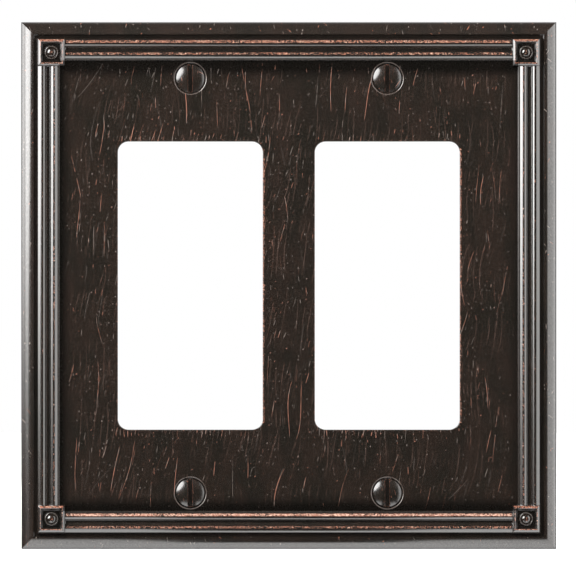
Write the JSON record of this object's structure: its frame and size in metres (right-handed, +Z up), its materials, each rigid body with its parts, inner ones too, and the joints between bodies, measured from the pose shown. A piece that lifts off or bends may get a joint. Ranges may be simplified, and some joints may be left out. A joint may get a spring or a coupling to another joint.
{
  "type": "wall plate cover",
  "caption": "Square wall plate with a bevelled, beaded border and corner blocks, tall openings for side-by-side decorator devices, and oval-head mounting screws that draw straight out.",
  "frame": {"origin": "centre of the back rim, in the plane of the wall, midway between the two openings", "axes": "+X to the right and +Z up as the plate hangs on the wall, +Y into the wall, so the decorated front faces -Y"},
  "size_m": [0.1252, 0.0152, 0.1232],
  "materials": {
    "plate_bronze": "dark rubbed bronze with copper worn through on the beads, edges and scratches, satin clear lacquer",
    "screw_bronze": "dark rubbed bronze over steel, copper worn through on the slot and rim edges"
  },
  "bodies": {
    "plate": {"wall_plate": "plate_bronze"},
    "screw_upper_left": {"screw_upper_left": "screw_bronze"},
    "screw_upper_right": {"screw_upper_right": "screw_bronze"},
    "screw_lower_left": {"screw_lower_left": "screw_bronze"},
    "screw_lower_right": {"screw_lower_right": "screw_bronze"}
  },
  "joints": [
    {"name": "screw_upper_left_slide", "type": "slide", "parent": "plate", "child": "screw_upper_left", "axis": [0, -1, 0], "range_m": [0, 0.017]},
    {"name": "screw_upper_right_slide", "type": "slide", "parent": "plate", "child": "screw_upper_right", "axis": [0, -1, 0], "range_m": [0, 0.017]},
    {"name": "screw_lower_left_slide", "type": "slide", "parent": "plate", "child": "screw_lower_left", "axis": [0, -1, 0], "range_m": [0, 0.017]},
    {"name": "screw_lower_right_slide", "type": "slide", "parent": "plate", "child": "screw_lower_right", "axis": [0, -1, 0], "range_m": [0, 0.017]}
  ]
}
